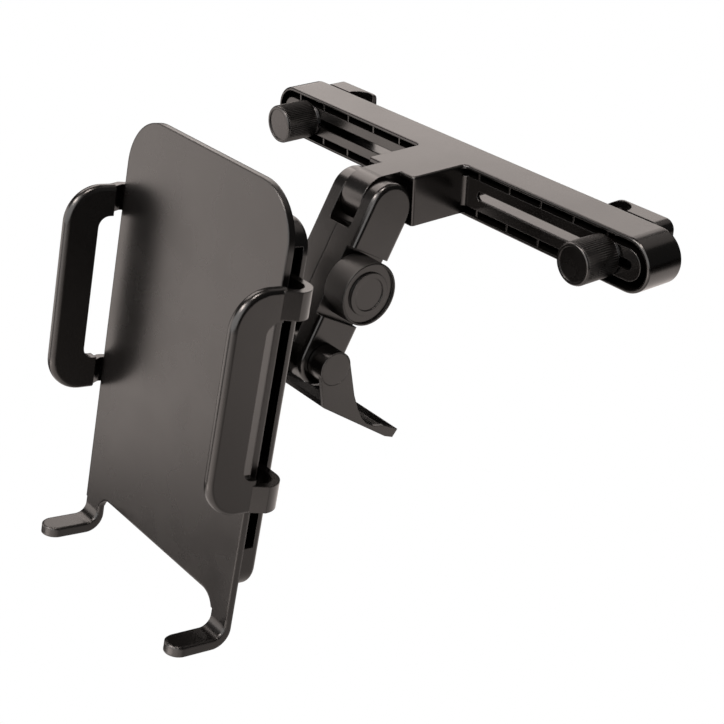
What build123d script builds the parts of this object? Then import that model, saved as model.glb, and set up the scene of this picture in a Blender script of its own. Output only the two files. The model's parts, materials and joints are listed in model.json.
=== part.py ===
from build123d import *
import os
from math import acos, cos, pi, radians, sin, sqrt, tan

os.makedirs("parts", exist_ok=True)

# Headrest tablet mount. Millimetres, X along the cross bar, Y to the rear, Z up.
# The origin is on the bar's rear face, midway between the two headrest posts.

# Cross bar
bar_length = 246.0
bar_height = 23.4
bar_depth = 19.0
bar_wall = 1.5
bar_floor = 2.4
bar_edge_round = 1.0
slot_height = 4.4
slot_inner_x = 23.4
rail_width = 4.6
rail_recess = 0.4
rail_web = 1.6
channel_wall = 1.2
rib_pitch = 18.9
rib_first_right = 23.0
rib_first_left = 30.0
rib_thickness = 1.0
rib_recess = 0.8

# Neck and hinge barrel
neck_half_width = 15.3
neck_root_half_width = 17.9
neck_length = 28.8
neck_corner_radius = 1.4
neck_wall = 2.6
neck_front_wall = 9.0
neck_bottom_step = 1.2
arm_swing_relief = 2.1
barrel_reach = 38.3
barrel_width = 13.4
pivot_pin_radius = 3.0

# Post clamps
clamp_end_distance = 24.1
post_groove_radius = 7.0
clamp_screw_offset = 14.4
jaw_hook_wall = 1.8
jaw_outer_end = 25.5
jaw_outer_corner = 4.5
jaw_hook_corner = 8.0
jaw_edge_round = 1.2
jaw_gap = 0.3
jaw_tongue_depth = 10.0
jaw_tongue_length = 10.0
clamp_knob_radius = 9.0
clamp_knob_length = 16.8
clamp_knob_ridges = 60
clamp_knob_ridge_depth = 0.3
clamp_knob_rim = 1.0
clamp_knob_round = 0.7
clamp_knob_face_recess = 0.5
clamp_knob_face_radius = 7.3
clamp_bolt_radius = 2.0
clamp_bolt_head_across = 7.0
clamp_bolt_head_height = 2.8
clamp_bolt_end_cover = 4.0
insert_radius = 3.6
insert_length = 6.0
washer_radius = 8.0
washer_thickness = 1.0
washer_key_length = 9.0
washer_key_depth = 4.0

# Tilt arm
arm_length = 71.5
arm_tilt = 30.0
arm_end_radius = 11.5
arm_top_flat = 1.5
arm_half_width = 14.1
arm_right_round = 2.2
arm_left_round = 0.8
arm_seam = 0.35
arm_seam_x = -1.0
upper_fork_depth = 15.6
fork_corner = 2.0
lower_fork_depth = 14.0
upper_pin_cover = 2.5
knob_place = 37.0
knob_recess_top = 22.0
knob_recess_bottom = 53.3
knob_recess_depth = 4.0
arm_knob_radius = 14.1
arm_knob_height = 9.0
arm_knob_round = 0.6
arm_knob_rim = 1.0
arm_knob_disc_radius = 9.6
arm_knob_ring_depth = 1.1
arm_knob_dish_radius = 7.3
arm_knob_dish_depth = 0.5
arm_knob_cover = 3.0
arm_screw_radius = 3.0
arm_nut_across = 10.0
arm_nut_height = 5.0

# Lock lever, as side-view points from the lower pivot (rear, up)
lever_half_width = 23.6
lever_boss_radius = 7.8
lever_cheek_wall = 2.0
lever_floor = 2.0
lever_front = (-6.0, -16.8)
lever_under = (28.2, -42.1)
lever_tip_bottom = (32.7, -44.1)
lever_tip_top = (35.5, -40.8)
lever_rim = [(27.5, -36.4), (22.0, -34.8), (17.5, -31.9), (15.0, -28.6), (12.7, -23.6), (10.4, -15.7)]
pin_cap_radius = 7.3
pin_cap_thickness = 2.0

# Knuckle and swivel, measured forward from the lower pivot
knuckle_width = 9.6
knuckle_radius = 10.5
knuckle_neck_half = 7.2
stem_radius = 8.5
stem_start = 14.0
swivel_drop = 1.35
flange_radius = 20.0
flange_front = 41.2
flange_thickness = 4.5
flange_edge = 1.5
swivel_boss_radius = 21.0
swivel_screw_radius = 3.0
swivel_head_radius = 5.5
swivel_head_height = 2.6
swivel_washer_radius = 8.0
swivel_washer_thickness = 1.2
swivel_thread_length = 14.0

# Holder
holder_tilt = 10.66
housing_half_width = 51.0
housing_half_height = 78.8
housing_shift = -2.2
housing_corner = 12.0
housing_rear = 47.5
housing_depth = 12.5
housing_wall = 2.2
housing_back = 2.4
housing_edge_round = 1.9
groove_bottom = -59.5
groove_top = 68.0
groove_rear_lip = 3.2
groove_width = 4.6
closing_screw_x = 40.0
closing_screw_z = 67.0
closing_screw_radius = 1.5
closing_head_radius = 2.8
closing_head_height = 1.8
closing_boss_radius = 4.0
plate_half_width = 57.0
plate_top = 90.5
plate_corner = 22.0
plate_thickness = 3.0
plate_lower_edge = -82.0
leg_width = 11.0
leg_inner_fillet = 8.0
foot_top = -95.5
foot_thickness = 4.4
foot_reach = 86.5
foot_bend_radius = 8.0
foot_edge = 0.6

# Side grips
grip_inner_x = 59.2
grip_thickness = 5.0
grip_front = 87.3
grip_rear = 65.3
grip_bottom = -35.0
grip_top = 57.5
grip_corner = 16.0
grip_edge_round = 2.2
grip_window_front = 72.0
grip_window_bottom = -20.5
grip_window_top = 44.2
grip_window_corner = 5.0
strap_height = 11.4
strap_thickness = 3.4
strap_bulge = 2.8
strap_step = 1.0
strap_lap = 1.5
strap_bend_radius = 9.2
strap_edge = 0.8
tongue_end_x = 31.0
cross_bar_width = 6.0
rack_overlap = 19.0
rack_depth = 7.0

# Pinion
gear_module = 1.0
pinion_teeth = 18
pinion_z = 27.0
pinion_thickness = 3.4
pinion_axle_radius = 2.5
pinion_axle_end = 1.2
pressure_angle = 20.0
gear_backlash = 0.30

# Clearances
running = 0.05
sliding = 0.20
side_gap = 0.30
bearing_gap = 0.10
overlap = 0.5
edge_match = 0.1

# Places that follow from the sizes
bar_end_x = bar_length / 2 - bar_height / 2
rim_inner = bar_height / 2 - bar_wall
rail_half = slot_height / 2 + rail_width
channel_half = rail_half - channel_wall
rail_face_y = -bar_depth + rail_recess
channel_floor_y = rail_face_y + rail_web
barrel_y = -bar_depth - barrel_reach
barrel_radius = bar_height / 2
neck_front_y = -bar_depth - neck_length
fork_half = barrel_width / 2 + side_gap
screw_x = bar_length / 2 - clamp_end_distance
post_x = screw_x - clamp_screw_offset
jaw_depth = post_groove_radius + jaw_hook_wall
jaw_rear = jaw_gap + jaw_depth
lower_pivot_y = barrel_y - arm_length * sin(radians(arm_tilt))
lower_pivot_z = -arm_length * cos(radians(arm_tilt))
recess_floor_x = arm_half_width - knob_recess_depth
arm_knob_start = recess_floor_x + bearing_gap
arm_knob_end = arm_half_width + arm_knob_height
housing_front = housing_rear + housing_depth
plate_front = housing_front + plate_thickness
grip_outer_x = grip_inner_x + grip_thickness
groove_rear = housing_rear + groove_rear_lip
strap_rear = groove_rear + (groove_width - strap_thickness) / 2
pitch_radius = gear_module * pinion_teeth / 2

ARM = Location((0, barrel_y, 0), (-arm_tilt, 0, 0))
LOWER_PIVOT = Location((0, lower_pivot_y, lower_pivot_z))
HOLDER = Location((0, lower_pivot_y, lower_pivot_z), (-holder_tilt, 0, 0)) * Pos(0, 0, -swivel_drop)


def slab_x(sketch, x0, x1):
    """A flat shape drawn as (Y, Z), thick from x0 to x1."""
    return extrude(Plane.YZ.offset(x0) * sketch, x1 - x0)


def slab_y(sketch, y0, y1):
    """A flat shape drawn as (X, Z), thick from y0 to y1."""
    return extrude(Plane.XZ.offset(-y0) * sketch, y0 - y1)


def slab_z(sketch, z0, z1):
    """A flat shape drawn as (X, Y), thick from z0 to z1."""
    return extrude(Plane.XY.offset(z0) * sketch, z1 - z0)


def box(x0, x1, y0, y1, z0, z1):
    return Pos((x0 + x1) / 2, (y0 + y1) / 2, (z0 + z1) / 2) * Box(abs(x1 - x0), abs(y1 - y0), abs(z1 - z0))


def rod_x(radius, x0, x1, y=0.0, z=0.0):
    return Pos((x0 + x1) / 2, y, z) * Rot(0, 90, 0) * Cylinder(radius, abs(x1 - x0))


def rod_y(radius, y0, y1, x=0.0, z=0.0):
    return Pos(x, (y0 + y1) / 2, z) * Rot(90, 0, 0) * Cylinder(radius, abs(y1 - y0))


def rod_z(radius, z0, z1, x=0.0, y=0.0):
    return Pos(x, y, (z0 + z1) / 2) * Cylinder(radius, abs(z1 - z0))


def hex_y(across, y0, y1, x=0.0, z=0.0):
    shape = Pos(x, z) * RegularPolygon(across / sqrt(3), 6)
    return slab_y(shape, y0, y1)


def hex_x(across, x0, x1, y=0.0, z=0.0):
    shape = Pos(y, z) * RegularPolygon(across / sqrt(3), 6)
    return slab_x(shape, x0, x1)


def outline(points):
    return make_face(Polyline(*points, close=True))


def rounded(x0, x1, y0, y1, radius):
    return Pos((x0 + x1) / 2, (y0 + y1) / 2) * RectangleRounded(x1 - x0, y1 - y0, radius)


def half_stadium(x0, x1, half_height):
    """A strip from x0 that ends in a half circle about x1."""
    strip = Pos((x0 + x1) / 2, 0) * Rectangle(x1 - x0, 2 * half_height)
    return strip + Pos(x1, 0) * Circle(half_height)


def mirror_x(shape):
    return mirror(shape, about=Plane.YZ)


def save(shape, name):
    export_step(shape, os.path.join("parts", name + ".step"))


# T-bar: stadium outline, open front, slotted rail ring and ribs in each wing
def wing_pocket(rib_first):
    pocket = slab_y(half_stadium(neck_half_width, bar_end_x, rim_inner), -bar_depth, -bar_floor)
    ring = slab_y(half_stadium(neck_half_width, bar_end_x, rail_half), rail_face_y, -bar_floor)
    space = pocket - ring
    count = int((bar_end_x - rib_first) // rib_pitch) + 1
    for i in range(count):
        x = rib_first + i * rib_pitch
        space -= box(x, x + rib_thickness, -bar_depth + rib_recess, -bar_floor, -bar_height, bar_height)
    slot_start = slot_inner_x + slot_height / 2
    slot = half_stadium(slot_start, bar_end_x, slot_height / 2) + Pos(slot_start, 0) * Circle(slot_height / 2)
    return space + slab_y(slot, -bar_depth, 0)


def flare_plan(face_y):
    """Plan of the concave root on both sides of the neck, where it meets a face at face_y."""
    flare = neck_root_half_width - neck_half_width
    wedge = Pos(0, face_y - flare / 2 + overlap / 2) * Rectangle(2 * neck_root_half_width, flare + overlap)
    for side in (-1, 1):
        wedge -= Pos(side * neck_root_half_width, face_y - flare) * Circle(flare)
    return wedge


def t_block():
    """Bar and neck as one solid block, with its rear, top and front edges rounded."""
    bar = slab_y(SlotCenterToCenter(2 * bar_end_x, bar_height), -bar_depth, 0)
    plan = rounded(-neck_half_width, neck_half_width, neck_front_y, -bar_depth / 2, neck_corner_radius)
    plan += flare_plan(-bar_depth)
    block = bar + slab_z(plan, -bar_height / 2 + neck_bottom_step, bar_height / 2)
    rear = block.faces().sort_by(Axis.Y)[-1].edges()
    top = block.faces().sort_by(Axis.Z)[-1].edges()
    top = top.filter_by(lambda edge: edge.center().Y < -bar_depth + edge_match)
    front = block.edges().filter_by(lambda edge: abs(edge.center().Y + bar_depth) < edge_match)
    bottom = front.filter_by(Axis.X).sort_by(Axis.Z)[:1]
    return fillet(rear + top + front.filter_by(GeomType.CIRCLE) + bottom, bar_edge_round)


def hinge_barrel(block):
    """The block with a pocket for each arm cheek, and the bored barrel between them."""
    swing_radius = arm_end_radius + arm_swing_relief
    for side in (-1, 1):
        cheek_outer = side * (arm_half_width + side_gap)
        block -= rod_x(swing_radius, side * barrel_width / 2, cheek_outer, barrel_y)
    barrel = rod_x(barrel_radius, -barrel_width / 2, barrel_width / 2, barrel_y)
    bridge = box(-barrel_width / 2, barrel_width / 2, barrel_y, neck_front_y + neck_wall,
                 -barrel_radius, barrel_radius)
    bore = rod_x(pivot_pin_radius + running, -barrel_width, barrel_width, barrel_y)
    return block + barrel + bridge - bore


def neck_hollow():
    """Space under the neck and the bar's middle, open below, with a rib along its centre."""
    half = neck_half_width - bar_wall
    ceiling = bar_height / 2 - neck_wall
    hollow = box(-half, half, neck_front_y + neck_front_wall, -bar_wall, -bar_height, ceiling)
    return hollow - box(-neck_wall / 2, neck_wall / 2, neck_front_y, 0, -bar_height, bar_height)


def headrest_bar():
    bar = t_block()
    flare = neck_root_half_width - neck_half_width
    for side in (-1, 1):
        bar -= box(side * neck_half_width, side * 2 * neck_root_half_width, -bar_depth - flare, -bar_depth,
                   -rim_inner, rim_inner)
    bar -= wing_pocket(rib_first_right)
    bar -= mirror_x(wing_pocket(rib_first_left))
    bar += slab_z(flare_plan(rail_face_y), -rail_half, rail_half)
    channel = slab_y(SlotCenterToCenter(2 * bar_end_x, 2 * channel_half), channel_floor_y, 0)
    return hinge_barrel(bar) - channel - neck_hollow()


save(headrest_bar(), "headrest_bar")


# Post clamps: the right one is drawn and the left one is its mirror image
def slide_washer():
    back = rail_face_y - bearing_gap
    disc = rod_y(washer_radius, back - washer_thickness, back, screw_x)
    half_key = slot_height / 2 - sliding
    key = box(screw_x - washer_key_length / 2, screw_x + washer_key_length / 2, back, back + washer_key_depth,
              -half_key, half_key)
    return disc + key - rod_y(clamp_bolt_radius + running, back - bar_depth, 0, screw_x)


knob_back = rail_face_y - 2 * bearing_gap - washer_thickness
knob_front = knob_back - clamp_knob_length


def clamp_knob():
    points = []
    for i in range(2 * clamp_knob_ridges):
        radius = clamp_knob_radius - clamp_knob_ridge_depth * (i % 2)
        angle = pi * i / clamp_knob_ridges
        points.append((screw_x + radius * cos(angle), radius * sin(angle)))
    ribbed = slab_y(outline(points), knob_front + clamp_knob_rim, knob_back)
    smooth = clamp_knob_radius - clamp_knob_ridge_depth
    cap = rod_y(smooth, knob_front, knob_front + clamp_knob_rim, screw_x)
    cap = fillet(cap.edges().filter_by(GeomType.CIRCLE).sort_by(Axis.Y)[0], clamp_knob_round)
    recess = rod_y(clamp_knob_face_radius, knob_front, knob_front + clamp_knob_face_recess, screw_x)
    hole = rod_y(clamp_bolt_radius + side_gap, knob_front + clamp_bolt_end_cover, knob_back, screw_x)
    seat = rod_y(insert_radius, knob_back - insert_length, knob_back, screw_x)
    return ribbed + cap - recess - hole - seat


def knob_insert():
    insert = rod_y(insert_radius, knob_back - insert_length, knob_back, screw_x)
    return insert - rod_y(clamp_bolt_radius + running, knob_back - insert_length, knob_back, screw_x)


def post_jaw():
    """Block beside the post and a thin hook round it, with a tongue for the bar's channel."""
    half = bar_height / 2
    inner_x = post_x - jaw_depth
    outer_x = post_x + jaw_outer_end
    face = Pos((inner_x + outer_x) / 2, 0) * Rectangle(outer_x - inner_x, bar_height)
    corners = face.vertices().sort_by(Axis.X)
    face = fillet(corners[:2], jaw_hook_corner)
    face = fillet(face.vertices().sort_by(Axis.X)[-2:], jaw_outer_corner)
    block = slab_y(face, jaw_gap, jaw_rear)
    block = fillet(block.faces().sort_by(Axis.Y)[-1].edges().sort_by(Axis.X)[1:], jaw_edge_round)
    plan = Pos((post_x + outer_x) / 2, (jaw_gap + jaw_rear) / 2) * Rectangle(outer_x - post_x, jaw_depth)
    plan += Pos(post_x, jaw_gap) * Circle(jaw_depth)
    plan -= Pos(post_x, jaw_gap) * Circle(post_groove_radius)
    jaw = block & slab_z(plan, -half, half)
    half_key = channel_half - sliding
    half_tongue = jaw_tongue_length / 2
    jaw += box(screw_x - half_tongue, screw_x + half_tongue, -jaw_tongue_depth, jaw_gap + overlap,
               -half_key, half_key)
    jaw -= rod_y(clamp_bolt_radius, -bar_depth, jaw_rear, screw_x)
    return jaw - hex_y(clamp_bolt_head_across, jaw_rear - clamp_bolt_head_height, jaw_rear, screw_x)


def clamp_bolt():
    seat_y = jaw_rear - clamp_bolt_head_height
    head = hex_y(clamp_bolt_head_across, seat_y, jaw_rear - side_gap, screw_x)
    end_y = knob_front + clamp_bolt_end_cover + overlap
    return head + rod_y(clamp_bolt_radius, end_y, seat_y + overlap, screw_x)


clamp_pieces = [
    (slide_washer(), "slide_washer"),
    (clamp_knob(), "clamp_knob"),
    (knob_insert(), "knob_insert"),
    (post_jaw(), "post_jaw"),
    (clamp_bolt(), "clamp_bolt"),
]
for piece, name in clamp_pieces:
    save(piece, "right_" + name)
    save(mirror_x(piece), "left_" + name)


# Tilt arm, drawn upright with its upper pivot at the origin, then leaned forward
def arm_outline(top, bottom, radius):
    """Side view of the arm as (Y, Z): round ends about the two pivots."""
    shape = Pos(0, (top + bottom) / 2) * Rectangle(2 * radius, top - bottom)
    return shape + Pos(0, top) * Circle(radius) + Pos(0, bottom) * Circle(radius)


def arm_half(x0, x1, edge_round):
    """One moulded half between the seam and its outer face, with both forks cut."""
    half = slab_x(arm_outline(-arm_top_flat, -arm_length, arm_end_radius), x0, x1)
    outer = half.faces().sort_by(Axis.X)[-1 if x1 > x0 else 0]
    half = fillet(outer.edges(), edge_round)
    wide = 2 * arm_end_radius
    fork = box(-fork_half, fork_half, -wide, wide, -upper_fork_depth, wide)
    half -= fillet(fork.edges().filter_by(Axis.Y).sort_by(Axis.Z)[:2], fork_corner)
    tongue_half = knuckle_width / 2 + side_gap
    half -= box(-tongue_half, tongue_half, -wide, wide, -arm_length - wide, -arm_length + lower_fork_depth)
    half -= rod_x(pivot_pin_radius, -arm_half_width + upper_pin_cover, arm_half_width - upper_pin_cover)
    half -= rod_x(pivot_pin_radius, -2 * arm_half_width, 2 * arm_half_width, 0, -arm_length)
    return half - rod_x(arm_screw_radius + running, -2 * arm_half_width, 2 * arm_half_width, 0, -knob_place)


right_half = arm_half(arm_seam_x, arm_half_width, arm_right_round)
right_half -= box(recess_floor_x, 2 * arm_half_width, -2 * arm_end_radius, 2 * arm_end_radius,
                  -knob_recess_bottom, -knob_recess_top)
nut_seat = hex_x(arm_nut_across, -arm_half_width, -arm_half_width + arm_nut_height, 0, -knob_place)
left_half = arm_half(arm_seam_x - arm_seam, -arm_half_width, arm_left_round) - nut_seat
save(ARM * right_half, "arm_right_half")
save(ARM * left_half, "arm_left_half")

pin_half = arm_half_width - upper_pin_cover
save(ARM * rod_x(pivot_pin_radius, -pin_half, pin_half), "upper_pivot_pin")

nut_bore = rod_x(arm_screw_radius + running, -2 * arm_half_width, 0, 0, -knob_place)
save(ARM * (nut_seat - nut_bore), "arm_nut")


def arm_knob():
    knob = rod_x(arm_knob_radius, arm_knob_start, arm_knob_end, 0, -knob_place)
    knob = fillet(knob.edges().filter_by(GeomType.CIRCLE).sort_by(Axis.X)[-1], arm_knob_round)
    ring_floor = arm_knob_end - arm_knob_ring_depth
    ring = rod_x(arm_knob_radius - arm_knob_rim, ring_floor, arm_knob_end, 0, -knob_place)
    knob -= ring - rod_x(arm_knob_disc_radius, ring_floor, arm_knob_end, 0, -knob_place)
    knob -= rod_x(arm_knob_dish_radius, arm_knob_end - arm_knob_dish_depth, arm_knob_end, 0, -knob_place)
    return knob - rod_x(arm_screw_radius, arm_knob_start, arm_knob_end - arm_knob_cover, 0, -knob_place)


save(ARM * arm_knob(), "arm_knob")
knob_screw = rod_x(arm_screw_radius, -arm_half_width + overlap, arm_knob_end - arm_knob_cover, 0, -knob_place)
save(ARM * knob_screw, "arm_knob_screw")


# Lower pivot: a headed pin through lever, fork and knuckle, with a cap at its far end
def lower_pin():
    end = lever_half_width - pin_cap_thickness
    return rod_x(pivot_pin_radius, -end, end) + rod_x(pin_cap_radius, end, lever_half_width)


pin_cap = rod_x(pin_cap_radius, -lever_half_width, -lever_half_width + pin_cap_thickness)
save(LOWER_PIVOT * lower_pin(), "lower_pivot_pin")
save(LOWER_PIVOT * pin_cap, "lower_pivot_cap")


def lever_cheek():
    """One side wall of the lever, as (Y, Z) about the pivot, with its boss."""
    bottom = [(-lever_boss_radius, 0), lever_front, lever_under, lever_tip_bottom, lever_tip_top]
    wall = slab_x(outline(bottom + lever_rim + [(lever_boss_radius, 0)]), lever_half_width - lever_cheek_wall,
                  lever_half_width)
    wall += rod_x(lever_boss_radius, arm_half_width + side_gap, lever_half_width)
    wall -= rod_x(pivot_pin_radius + running, 0, 2 * lever_half_width)
    cap_seat = lever_half_width - pin_cap_thickness - bearing_gap
    return wall - rod_x(pin_cap_radius + running, cap_seat, lever_half_width)


def raised(start, end, thickness):
    """Strip of the given thickness on the upper side of the line from start to end."""
    run = sqrt((end[0] - start[0]) ** 2 + (end[1] - start[1]) ** 2)
    up = ((start[1] - end[1]) / run * thickness, (end[0] - start[0]) / run * thickness)
    return outline([start, end, (end[0] + up[0], end[1] + up[1]), (start[0] + up[0], start[1] + up[1])])


def lock_lever():
    cheek = lever_cheek()
    inner = lever_half_width - lever_cheek_wall / 2
    floor = raised(lever_front, lever_under, lever_floor) + raised(lever_under, lever_tip_bottom, lever_floor)
    floor += raised(lever_tip_bottom, lever_tip_top, lever_floor)
    return cheek + mirror_x(cheek) + slab_x(floor, -inner, inner)


save(LOWER_PIVOT * lock_lever(), "lock_lever")


# Knuckle and swivel, drawn with the lower pivot at the origin and the holder to the front
def knuckle():
    tongue = rod_x(knuckle_radius, -knuckle_width / 2, knuckle_width / 2, 0, swivel_drop)
    tongue += box(-knuckle_width / 2, knuckle_width / 2, -stem_start - overlap, 0,
                  -knuckle_neck_half, knuckle_neck_half)
    stem = rod_y(stem_radius, -flange_front + flange_thickness / 2, -stem_start)
    flange = rod_y(flange_radius, -flange_front, -flange_front + flange_thickness)
    flange = chamfer(flange.edges().filter_by(GeomType.CIRCLE).sort_by(Axis.Y)[-1], flange_edge)
    bore = rod_x(pivot_pin_radius + running, -knuckle_width, knuckle_width, 0, swivel_drop)
    thread = rod_y(swivel_screw_radius, -flange_front, -flange_front + swivel_thread_length)
    return tongue + stem + flange - bore - thread


save(HOLDER * knuckle(), "knuckle")

back_inside = -housing_rear - housing_back
washer_front = back_inside - bearing_gap - swivel_washer_thickness


def swivel_screw():
    shank = rod_y(swivel_screw_radius, washer_front - overlap, -flange_front + swivel_thread_length)
    return shank + rod_y(swivel_head_radius, washer_front - swivel_head_height, washer_front)


def swivel_washer():
    washer_back = washer_front + swivel_washer_thickness
    hole = rod_y(swivel_screw_radius, washer_front, washer_back)
    return rod_y(swivel_washer_radius, washer_front, washer_back) - hole


save(HOLDER * swivel_screw(), "swivel_screw")
save(HOLDER * swivel_washer(), "swivel_washer")


# Holder: hollow housing with a groove in each side, closed at the front by the plate
screw_heights = (housing_shift - closing_screw_z, housing_shift + closing_screw_z)
screw_places = [(x, z) for x in (-closing_screw_x, closing_screw_x) for z in screw_heights]


def holder_housing():
    half_x = housing_half_width
    low_z = housing_shift - housing_half_height
    high_z = housing_shift + housing_half_height
    shell = slab_y(rounded(-half_x, half_x, low_z, high_z, housing_corner), -housing_front, -housing_rear)
    shell = fillet(shell.faces().sort_by(Axis.Y)[-1].edges(), housing_edge_round)
    wall = housing_wall
    inner = rounded(-half_x + wall, half_x - wall, low_z + wall, high_z - wall, housing_corner - wall)
    shell -= slab_y(inner, -housing_front, back_inside)
    groove_front = groove_rear + groove_width
    shell -= box(-2 * half_x, 2 * half_x, -groove_front, -groove_rear, groove_bottom, groove_top)
    for x, z in screw_places:
        shell += rod_y(closing_boss_radius, -housing_front, back_inside + overlap, x, z)
    for x, z in screw_places:
        shell -= rod_y(closing_screw_radius, -housing_front, -housing_rear, x, z)
        shell -= rod_y(closing_head_radius, -housing_rear - closing_head_height, -housing_rear, x, z)
    axle_front = -strap_rear - pinion_thickness - pinion_axle_end
    shell += rod_y(pinion_axle_radius, axle_front, back_inside + overlap, 0, pinion_z)
    shell += rod_y(swivel_boss_radius, -housing_rear - overlap, -flange_front - bearing_gap)
    return shell - rod_y(swivel_screw_radius + running, -housing_front, -flange_front)


def front_plate():
    legs_bottom = foot_top + foot_bend_radius
    face = rounded(-plate_half_width, plate_half_width, legs_bottom - plate_corner, plate_top, plate_corner)
    face -= Pos(0, legs_bottom - plate_corner) * Rectangle(4 * plate_half_width, 2 * plate_corner)
    gap_half = plate_half_width - leg_width
    gap_bottom = legs_bottom - 3 * leg_inner_fillet
    face -= rounded(-gap_half, gap_half, gap_bottom, plate_lower_edge, leg_inner_fillet)
    plate = slab_y(face, -plate_front, -housing_front)
    plate += foot() + mirror_x(foot())
    hole_end = -housing_front - plate_thickness / 2 - side_gap
    for x, z in screw_places:
        plate -= rod_y(closing_screw_radius, hole_end, -housing_front, x, z)
    return plate


def foot():
    """Right leg's bend and foot: one bent strip with a round end."""
    x0 = plate_half_width - leg_width
    x1 = plate_half_width
    sole_bottom = foot_top - foot_thickness
    leg_top = foot_top + foot_bend_radius
    leg = Pos(-(plate_front + housing_front) / 2, (sole_bottom + leg_top) / 2)
    leg *= Rectangle(plate_thickness, leg_top - sole_bottom)
    sole = Pos(-(foot_reach + housing_front) / 2, (sole_bottom + foot_top) / 2)
    sole *= Rectangle(foot_reach - housing_front, foot_thickness)
    side = leg + sole
    heel = side.vertices().sort_by_distance((-housing_front, sole_bottom))[0]
    side = fillet(heel, foot_bend_radius)
    crook = side.vertices().sort_by_distance((-plate_front, foot_top))[0]
    side = fillet(crook, foot_bend_radius - plate_thickness)
    tip = leg_width / 2
    straight = foot_reach - tip - housing_front
    plan = Pos(x1 - tip, -housing_front - straight / 2) * Rectangle(leg_width, straight)
    plan += Pos(x1 - tip, -foot_reach + tip) * Circle(tip)
    strip = slab_x(side, x0, x1) & slab_z(plan, sole_bottom, leg_top)
    rim = strip.edges().filter_by(lambda edge: abs(edge.center().Z - foot_top) < edge_match)
    return chamfer(rim.sort_by(Axis.Y)[:-1], foot_edge)


def closing_screws():
    screws = []
    for x, z in screw_places:
        seat_y = -housing_rear - closing_head_height
        head = rod_y(closing_head_radius - running, seat_y, -housing_rear - side_gap, x, z)
        screws.append(head + rod_y(closing_screw_radius, -housing_front - plate_thickness / 2, seat_y, x, z))
    return Compound(children=screws)


save(HOLDER * holder_housing(), "holder_housing")
save(HOLDER * front_plate(), "holder_front_plate")
save(HOLDER * closing_screws(), "holder_screws")


# Side grips: the right one carries the upper rack and the left one the lower rack
def strap(z0, z1):
    """One strap as (X, Y): from the grip plate round the bend and into the housing."""
    bend_x = grip_outer_x + strap_bulge - strap_bend_radius
    bend_y = -strap_rear - strap_bend_radius
    inside = strap_bend_radius - strap_thickness
    lap_y = -grip_rear - strap_lap
    slant = outline([(grip_outer_x, lap_y), (grip_outer_x + strap_bulge, bend_y), (bend_x + inside, bend_y),
                     (grip_inner_x + strap_step, lap_y)])
    arc = Pos(bend_x, bend_y) * (Circle(strap_bend_radius) - Circle(inside))
    quarter = Pos(bend_x + strap_bend_radius, bend_y + strap_bend_radius)
    arc &= quarter * Rectangle(2 * strap_bend_radius, 2 * strap_bend_radius)
    mid_y = -strap_rear - strap_thickness / 2
    tongue = Pos((tongue_end_x + bend_x) / 2, mid_y) * Rectangle(bend_x - tongue_end_x, strap_thickness)
    return slab_z(slant + arc + tongue, z0, z1)


def rack_teeth(toward):
    """Rack bar with straight-sided teeth that point toward the pinion (-1 down, +1 up)."""
    pitch = pi * gear_module
    half_tip = pitch / 4 - gear_backlash / 2 - gear_module * tan(radians(pressure_angle))
    half_root = pitch / 4 - gear_backlash / 2 + gear_module * tan(radians(pressure_angle))
    pitch_line = pinion_z - toward * pitch_radius
    back = pitch_line - toward * (rack_depth + 1.25 * gear_module)
    root = pitch_line - toward * 1.25 * gear_module
    tip = pitch_line + toward * gear_module
    bar_end = tongue_end_x + overlap
    shape = outline([(-rack_overlap, back), (bar_end, back), (bar_end, root), (-rack_overlap, root)])
    count = int((rack_overlap - pitch) // pitch)
    for i in range(-count, 4):
        mid = (i + 0.5) * pitch
        foot_z = root - toward * overlap
        shape += outline([(mid - half_root, foot_z), (mid - half_root, root), (mid - half_tip, tip),
                          (mid + half_tip, tip), (mid + half_root, root), (mid + half_root, foot_z)])
    return slab_y(shape, -strap_rear - strap_thickness, -strap_rear)


def side_grip(toward):
    face = Pos(-(grip_front + grip_rear) / 2, (grip_bottom + grip_top) / 2)
    face *= Rectangle(grip_front - grip_rear, grip_top - grip_bottom)
    face = fillet(face.vertices().sort_by(Axis.X)[:2], grip_corner)
    window_rear = -grip_rear + 4 * grip_window_corner
    window = rounded(-grip_window_front, window_rear, grip_window_bottom, grip_window_top, grip_window_corner)
    plate = slab_x(face, grip_inner_x, grip_outer_x)
    front = plate.edges().filter_by(lambda edge: edge.center().Y < -grip_rear - overlap)
    plate = fillet(front.filter_by(lambda edge: abs(edge.tangent_at(0.5).X) < 0.1), grip_edge_round)
    plate -= slab_x(window, grip_inner_x, grip_outer_x)
    upper_z = grip_top - strap_edge
    lower_z = grip_bottom + strap_edge
    plate += strap(upper_z - strap_height, upper_z)
    plate += strap(lower_z, lower_z + strap_height)
    cross_end = tongue_end_x + cross_bar_width
    plate += box(tongue_end_x, cross_end, -strap_rear - strap_thickness, -strap_rear, lower_z, upper_z)
    return plate + rack_teeth(toward)


save(HOLDER * side_grip(-1), "right_side_grip")
save(HOLDER * mirror_x(side_grip(1)), "left_side_grip")


def involute(base_radius, radius, offset, side):
    """Point of a tooth flank at the given radius, turned by offset."""
    roll = sqrt(max((radius / base_radius) ** 2 - 1, 0.0))
    angle = roll - acos(min(base_radius / radius, 1.0))
    return (radius * cos(offset + side * angle), radius * sin(offset + side * angle))


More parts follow.
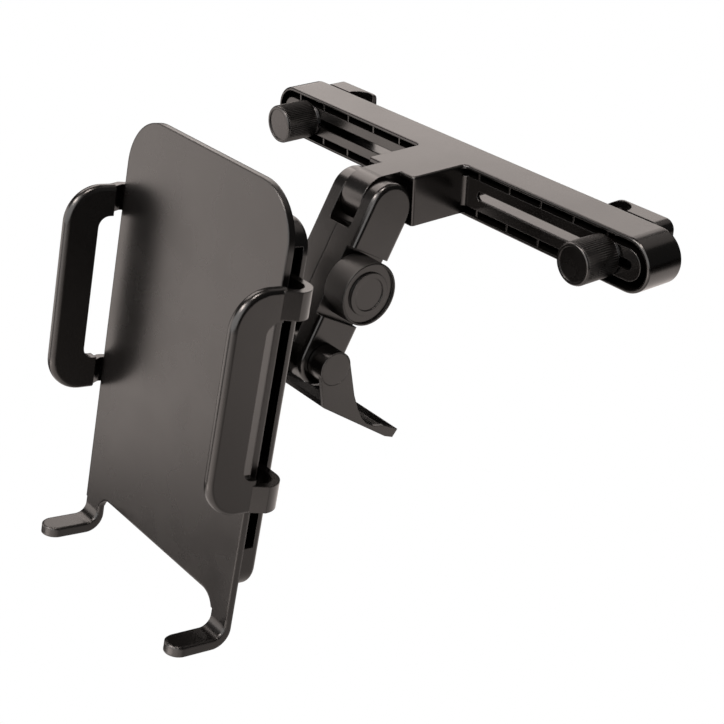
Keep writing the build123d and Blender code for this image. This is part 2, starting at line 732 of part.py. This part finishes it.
def pinion():
    base_radius = pitch_radius * cos(radians(pressure_angle))
    tip_radius = pitch_radius + gear_module
    root_radius = pitch_radius - 1.25 * gear_module
    flank = tan(radians(pressure_angle)) - radians(pressure_angle)
    half_tooth = (pi * gear_module / 4 - gear_backlash / 2) / pitch_radius + flank
    steps = [base_radius + (tip_radius - base_radius) * k / 4 for k in range(5)]
    points = []
    for i in range(pinion_teeth):
        mid = 2 * pi * i / pinion_teeth + pi / 2
        start = mid - half_tooth
        end = mid + half_tooth
        points.append((root_radius * cos(start), root_radius * sin(start)))
        points += [involute(base_radius, r, start, 1) for r in steps]
        points += [involute(base_radius, r, end, -1) for r in reversed(steps)]
        points.append((root_radius * cos(end), root_radius * sin(end)))
    gear = Pos(0, pinion_z) * outline(points)
    bore = Pos(0, pinion_z) * Circle(pinion_axle_radius + running)
    return slab_y(gear - bore, -strap_rear - pinion_thickness, -strap_rear)


save(HOLDER * pinion(), "pinion")
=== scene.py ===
import json
import math
import bmesh
import bpy
from mathutils import Matrix, Vector

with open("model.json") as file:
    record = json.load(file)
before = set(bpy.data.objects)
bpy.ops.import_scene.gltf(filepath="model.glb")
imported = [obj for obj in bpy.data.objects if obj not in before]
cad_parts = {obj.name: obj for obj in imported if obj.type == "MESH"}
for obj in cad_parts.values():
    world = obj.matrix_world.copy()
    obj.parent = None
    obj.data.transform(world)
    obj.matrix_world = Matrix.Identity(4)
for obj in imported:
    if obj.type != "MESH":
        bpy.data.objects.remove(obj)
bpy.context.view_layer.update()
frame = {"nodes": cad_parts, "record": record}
nodes = frame["nodes"]
scene = bpy.context.scene
print("frame loaded:", len(nodes), "nodes")

# camera at the photo's viewpoint, lens for a square picture
cameraValues = {
    "place": (0.47370, -0.44134, 0.24077),
    "right": (0.614752, 0.788182, 0.029138),
    "forward": (-0.689739, 0.555155, -0.464827),
    "lens": 76.11,
    "sensor": 36.0,
    "clip": (0.01, 50.0),
}


def addCamera(values):
    data = bpy.data.cameras.new("photoCamera")
    data.lens = values["lens"]
    data.sensor_width = values["sensor"]
    data.clip_start, data.clip_end = values["clip"]
    camera = bpy.data.objects.new("photoCamera", data)
    scene.collection.objects.link(camera)
    ahead = Vector(values["forward"]).normalized()
    right = Vector(values["right"])
    right = (right - ahead * right.dot(ahead)).normalized()
    up = right.cross(ahead)
    turn = Matrix((right, up, -ahead)).transposed().to_4x4()
    camera.matrix_world = Matrix.Translation(Vector(values["place"])) @ turn
    scene.camera = camera


addCamera(cameraValues)
print("camera placed")


# nodes that the studio and the finishes share
def addMath(tree, operation, first, second):
    node = tree.nodes.new("ShaderNodeMath")
    node.operation = operation
    tree.links.new(first, node.inputs[0])
    tree.links.new(second, node.inputs[1])
    return node.outputs[0]


def addRange(tree, value, span):
    node = tree.nodes.new("ShaderNodeMapRange")
    node.inputs["From Min"].default_value, node.inputs["From Max"].default_value = span
    tree.links.new(value, node.inputs["Value"])
    return node


def addMix(tree, kind, factor, first=None, second=None):
    node = tree.nodes.new("ShaderNodeMix")
    node.data_type = kind
    tree.links.new(factor, node.inputs["Factor"])
    for label, source in (("A", first), ("B", second)):
        if source:
            tree.links.new(source, node.inputs[label])
    return node


def addSplit(tree, vector):
    node = tree.nodes.new("ShaderNodeSeparateXYZ")
    tree.links.new(vector, node.inputs["Vector"])
    return node.outputs


def coordinates(tree, label):
    return tree.nodes.new("ShaderNodeTexCoord").outputs[label]


def rayKinds(tree):
    # camera rays, and the rays that gloss and glass send out
    path = tree.nodes.new("ShaderNodeLightPath").outputs
    mirrored = addMath(tree, "MAXIMUM", path["Is Glossy Ray"], path["Is Transmission Ray"])
    return path["Is Camera Ray"], mirrored


# white surround for the camera, dark walls and a shaped floor for the gloss
white = (1, 1, 1, 1)
worldValues = {
    "fill": 0.20,
    "shown": 1.0,
    "walls": 0.06,
    "glow": 2.6,
    "glowFrom": (0.25, -0.935, 0.25),
    "glowReach": (0.50, 0.72),
}


def addWorld(values):
    world = bpy.data.worlds.new("studioWorld")
    scene.world = world
    world.use_nodes = True
    tree = world.node_tree
    tree.nodes.clear()
    camera, mirrored = rayKinds(tree)
    # the gloss meets dark walls, with a broad glow in front that only rounded edges can mirror
    towards = tree.nodes.new("ShaderNodeVectorMath")
    towards.operation = "DOT_PRODUCT"
    tree.links.new(coordinates(tree, "Generated"), towards.inputs[0])
    towards.inputs[1].default_value = Vector(values["glowFrom"]).normalized()
    walls = addRange(tree, towards.outputs["Value"], values["glowReach"])
    walls.interpolation_type = "SMOOTHSTEP"
    walls.inputs["To Min"].default_value = values["walls"]
    walls.inputs["To Max"].default_value = values["glow"]
    strength = addMix(tree, "FLOAT", mirrored, second=walls.outputs["Result"])
    strength.inputs["A"].default_value = values["fill"]
    shown = addMix(tree, "FLOAT", camera, first=strength.outputs["Result"])
    shown.inputs["B"].default_value = values["shown"]
    back = tree.nodes.new("ShaderNodeBackground")
    back.inputs["Color"].default_value = white
    tree.links.new(shown.outputs["Result"], back.inputs["Strength"])
    out = tree.nodes.new("ShaderNodeOutputWorld")
    tree.links.new(back.outputs[0], out.inputs["Surface"])


lampTint = (1.0, 0.905, 0.855)
floorValues = {
    "height": -0.80,
    "size": 16.0,
    "tone": 0.80,
    "mirror": [  # Y, and how bright the gloss sees the floor there
        (-2.0, 2.4), (-1.1, 2.2), (-0.7, 1.5), (-0.35, 1.4), (0.0, 0.55), (0.4, 0.65), (0.53, 0.80),
        (0.62, 0.95), (0.72, 1.25), (1.25, 1.35), (1.42, 0.70), (1.6, 0.10), (3.0, 0.05),
    ],
    "rightFade": (2.10, 2.50),  # X where the bright floor starts and ends to fade
    "leftFade": (-0.70, -1.00),
    "faded": 0.04,
}


def floorMirror(tree, values):
    # warm, bright in front of the object and behind it, dim below it and dark far out
    where = addSplit(tree, coordinates(tree, "Object"))
    stops = values["mirror"]
    near, far = stops[0][0], stops[-1][0]
    share = addRange(tree, where["Y"], (near, far))
    shine = tree.nodes.new("ShaderNodeValToRGB")
    elements = shine.color_ramp.elements
    while len(elements) < len(stops):
        elements.new(0.5)  # moved to its own place below
    for element, (distance, bright) in zip(elements, stops):
        element.position = (distance - near) / (far - near)
        element.color = (*[bright * part for part in lampTint], 1)
    tree.links.new(share.outputs["Result"], shine.inputs["Fac"])
    sides = []
    for fade in (values["rightFade"], values["leftFade"]):
        side = addRange(tree, where["X"], fade)
        side.inputs["To Min"].default_value = 1.0
        side.inputs["To Max"].default_value = values["faded"]
        sides.append(side.outputs["Result"])
    lit = tree.nodes.new("ShaderNodeVectorMath")
    lit.operation = "SCALE"
    tree.links.new(shine.outputs["Color"], lit.inputs[0])
    tree.links.new(addMath(tree, "MINIMUM", *sides), lit.inputs["Scale"])
    return lit.outputs["Vector"]


def floorFinish(values):
    material = bpy.data.materials.new("paleFloor")
    material.use_nodes = True
    tree = material.node_tree
    tree.nodes.clear()
    diffuse = tree.nodes.new("ShaderNodeBsdfDiffuse")
    diffuse.inputs["Color"].default_value = (values["tone"], values["tone"], values["tone"], 1)
    camera, mirrored = rayKinds(tree)
    seenColour = addMix(tree, "RGBA", camera, first=floorMirror(tree, values))
    seenColour.inputs["B"].default_value = white
    glow = tree.nodes.new("ShaderNodeEmission")
    tree.links.new(seenColour.outputs["Result"], glow.inputs["Color"])
    mix = tree.nodes.new("ShaderNodeMixShader")
    tree.links.new(addMath(tree, "MAXIMUM", camera, mirrored), mix.inputs["Fac"])
    tree.links.new(diffuse.outputs[0], mix.inputs[1])
    tree.links.new(glow.outputs[0], mix.inputs[2])
    out = tree.nodes.new("ShaderNodeOutputMaterial")
    tree.links.new(mix.outputs[0], out.inputs["Surface"])
    return material


def addFloor(values):
    mesh = bpy.data.meshes.new("studioFloor")
    bm = bmesh.new()
    bmesh.ops.create_grid(bm, x_segments=1, y_segments=1, size=values["size"] / 2)
    bmesh.ops.translate(bm, verts=bm.verts, vec=(0, 0, values["height"]))
    bm.to_mesh(mesh)
    bm.free()
    floor = bpy.data.objects.new("studioFloor", mesh)
    scene.collection.objects.link(floor)
    mesh.materials.append(floorFinish(values))


# broad boxes for the large faces, small bright ones for the glints along edges
lampAim = Vector((0, -0.08, -0.05))
lampValues = {
    "leftFrontBox": {"place": (-1.15, -0.92, -0.10), "size": (1.0, 1.0), "bright": 1.85},
    "leftTopBox": {"place": (-1.10, 0.15, 1.00), "size": (0.9, 0.7), "bright": 3.2},
    "leftRearBox": {"place": (-1.05, 1.00, 0.55), "size": (1.4, 0.85), "bright": 1.8},
    "rearTopBox": {"place": (0.10, 0.95, 1.10), "size": (0.9, 0.5), "bright": 0.6},
    "frontTopBox": {"place": (0.05, -0.85, 1.25), "size": (0.5, 0.4), "bright": 1.0},
    "overheadGlint": {"place": (0.28, -0.10, 1.30), "size": (0.34, 0.40), "bright": 24.0},
    "frontGlint": {"place": (-0.05, -0.95, 1.08), "size": (1.00, 0.26), "bright": 22.0},
    "lowGlint": {"place": (-0.05, -1.40, -0.62), "size": (0.80, 0.25), "bright": 2.5},
}


def addLamp(name, values):
    data = bpy.data.lights.new(name, "AREA")
    data.shape = "RECTANGLE"
    data.size, data.size_y = values["size"]
    data.energy = values["bright"] * math.pi * data.size * data.size_y
    data.color = lampTint
    lamp = bpy.data.objects.new(name, data)
    scene.collection.objects.link(lamp)
    spot = Vector(values["place"])
    turn = (lampAim - spot).to_track_quat("-Z", "Y").to_matrix().to_4x4()
    lamp.matrix_world = Matrix.Translation(spot) @ turn
    lamp.visible_camera = False


addWorld(worldValues)
addFloor(floorValues)
for lampName, values in lampValues.items():
    addLamp(lampName, values)
scene.view_settings.view_transform = "Standard"
print("studio lit")


# surface effects shared by the finishes, each driven by one noise
def newGroup(name, inputs, output):
    group = bpy.data.node_groups.new(name, "ShaderNodeTree")
    sockets = [("Vector", "NodeSocketVector"), ("Scale", "NodeSocketFloat"), *inputs]
    for label, kind in sockets:
        group.interface.new_socket(name=label, in_out="INPUT", socket_type=kind)
    group.interface.new_socket(name=output[0], in_out="OUTPUT", socket_type=output[1])
    given = group.nodes.new("NodeGroupInput").outputs
    return group, given, group.nodes.new("NodeGroupOutput").inputs[output[0]]


def addNoise(group, given, values):
    noise = group.nodes.new("ShaderNodeTexNoise")
    for label, value in values.items():
        noise.inputs[label].default_value = value
    for label in ("Vector", "Scale"):
        group.links.new(given[label], noise.inputs[label])
    return noise.outputs["Fac"]


grainNoise = {"Detail": 3.0, "Roughness": 0.62}
handlingNoise = {"Detail": 4.0}
handlingSpan = (0.32, 0.68)
toneNoise = {"Detail": 2.0}


def grainGroup():
    # fine spark-eroded skin of a moulding, as a height
    group, given, out = newGroup("mouldGrain", [], ("Height", "NodeSocketFloat"))
    group.links.new(addNoise(group, given, grainNoise), out)
    return group


def handlingGroup():
    # slow change of gloss where hands and cloths have been
    inputs = [("Glossy", "NodeSocketFloat"), ("Dull", "NodeSocketFloat")]
    group, given, out = newGroup("handling", inputs, ("Roughness", "NodeSocketFloat"))
    spread = addRange(group, addNoise(group, given, handlingNoise), handlingSpan)
    group.links.new(given["Glossy"], spread.inputs["To Min"])
    group.links.new(given["Dull"], spread.inputs["To Max"])
    group.links.new(spread.outputs["Result"], out)
    return group


def toneGroup():
    # faint flow tone of the plastic between two colours
    inputs = [("Deep", "NodeSocketColor"), ("Pale", "NodeSocketColor")]
    group, given, out = newGroup("flowTone", inputs, ("Color", "NodeSocketColor"))
    flow = addNoise(group, given, toneNoise)
    mix = addMix(group, "RGBA", flow, first=given["Deep"], second=given["Pale"])
    group.links.new(mix.outputs["Result"], out)
    return group


grain = grainGroup()
handling = handlingGroup()
flowTone = toneGroup()


def addGroup(tree, group, **values):
    node = tree.nodes.new("ShaderNodeGroup")
    node.node_tree = group
    tree.links.new(coordinates(tree, "Object"), node.inputs["Vector"])
    for label, value in values.items():
        node.inputs[label].default_value = value
    return node.outputs[0]


# lengths in metres: edge is the softened corner's radius, grainDepth the height of the skin
sharedValues = {"metal": 0.0, "ior": 1.56, "sheen": (1, 1, 1), "edgeSamples": 6, "grainDepth": 0.0002}
mouldingSheen = (1.0, 0.97, 0.95)
blackValues = {
    "deep": (0.0017, 0.0015, 0.0014), "pale": (0.0030, 0.0027, 0.0025), "toneScale": 24.0,
    "gloss": (0.20, 0.26), "glossScale": 40.0, "sheen": mouldingSheen,
    "grain": 0.02, "grainScale": 1800.0, "edge": 0.0005,
}
finishValues = {
    "blackMoulding": blackValues,
    "plateMoulding": {**blackValues, "gloss": (0.24, 0.30), "edge": 0.0012},
    "knobMoulding": {
        "deep": (0.0018, 0.0016, 0.0015), "pale": (0.0032, 0.0029, 0.0027), "toneScale": 30.0,
        "gloss": (0.24, 0.30), "glossScale": 50.0, "sheen": mouldingSheen,
        "grain": 0.04, "grainScale": 2200.0, "edge": 0.0003,
    },
    "wheelMoulding": {
        "deep": (0.0026, 0.0024, 0.0022), "pale": (0.0042, 0.0038, 0.0035), "toneScale": 30.0,
        "gloss": (0.46, 0.54), "glossScale": 50.0, "sheen": mouldingSheen,
        "faceGloss": 0.22, "faceSpan": (0.75, 0.97),
        "grain": 0.10, "grainScale": 1500.0, "edge": 0.0004,
    },
    "zincSteel": {
        "deep": (0.46, 0.46, 0.47), "pale": (0.58, 0.58, 0.59), "toneScale": 90.0, "metal": 1.0,
        "gloss": (0.28, 0.42), "glossScale": 120.0,
        "grain": 0.2, "grainScale": 2500.0, "edge": 0.0002,
    },
    "brassInsert": {
        "deep": (0.60, 0.43, 0.18), "pale": (0.72, 0.55, 0.26), "toneScale": 90.0, "metal": 1.0,
        "gloss": (0.26, 0.38), "glossScale": 120.0,
        "grain": 0.2, "grainScale": 2500.0, "edge": 0.0002,
    },
    "whiteAcetal": {
        "deep": (0.66, 0.65, 0.61), "pale": (0.76, 0.75, 0.71), "toneScale": 60.0,
        "gloss": (0.34, 0.44), "glossScale": 90.0,
        "grain": 0.1, "grainScale": 2000.0, "edge": 0.0002,
    },
}


def smootherFaces(tree, rough, values):
    # turned sides stay dull, the end face across the X axis is smoother
    facing = addSplit(tree, coordinates(tree, "Normal"))
    blend = addRange(tree, facing["X"], values["faceSpan"])
    blend.inputs["To Max"].default_value = values["faceGloss"]
    tree.links.new(rough, blend.inputs["To Min"])
    return blend.outputs["Result"]


def makeFinish(name, values):
    values = {**sharedValues, **values}
    material = bpy.data.materials.new(name)
    material.use_nodes = True
    tree = material.node_tree
    shader = tree.nodes["Principled BSDF"]
    glossy, dull = values["gloss"]
    tone = addGroup(tree, flowTone, Scale=values["toneScale"], Deep=(*values["deep"], 1),
                    Pale=(*values["pale"], 1))
    rough = addGroup(tree, handling, Scale=values["glossScale"], Glossy=glossy, Dull=dull)
    skin = addGroup(tree, grain, Scale=values["grainScale"])
    if "faceGloss" in values:
        rough = smootherFaces(tree, rough, values)
    edge = tree.nodes.new("ShaderNodeBevel")
    edge.samples = values["edgeSamples"]
    edge.inputs["Radius"].default_value = values["edge"]
    bump = tree.nodes.new("ShaderNodeBump")
    bump.inputs["Strength"].default_value = values["grain"]
    bump.inputs["Distance"].default_value = values["grainDepth"]
    tree.links.new(edge.outputs["Normal"], bump.inputs["Normal"])
    tree.links.new(skin, bump.inputs["Height"])
    tree.links.new(tone, shader.inputs["Base Color"])
    tree.links.new(rough, shader.inputs["Roughness"])
    tree.links.new(bump.outputs["Normal"], shader.inputs["Normal"])
    shader.inputs["Metallic"].default_value = values["metal"]
    shader.inputs["IOR"].default_value = values["ior"]
    shader.inputs["Specular Tint"].default_value = (*values["sheen"], 1)
    return material


finishes = {name: makeFinish(name, values) for name, values in finishValues.items()}
slotFinish = {"black_plastic": "blackMoulding", "knob_plastic": "knobMoulding", "steel": "zincSteel",
              "brass": "brassInsert", "acetal": "whiteAcetal"}
nodeFinish = {"arm_knob": "wheelMoulding", "holder_front_plate": "plateMoulding"}
for part in frame["record"]["subparts"]:
    node = part["node"]
    mesh = nodes[node].data
    mesh.materials.clear()
    mesh.materials.append(finishes[nodeFinish.get(node, slotFinish[part["material_slot"]])])
print("finishes on all nodes")
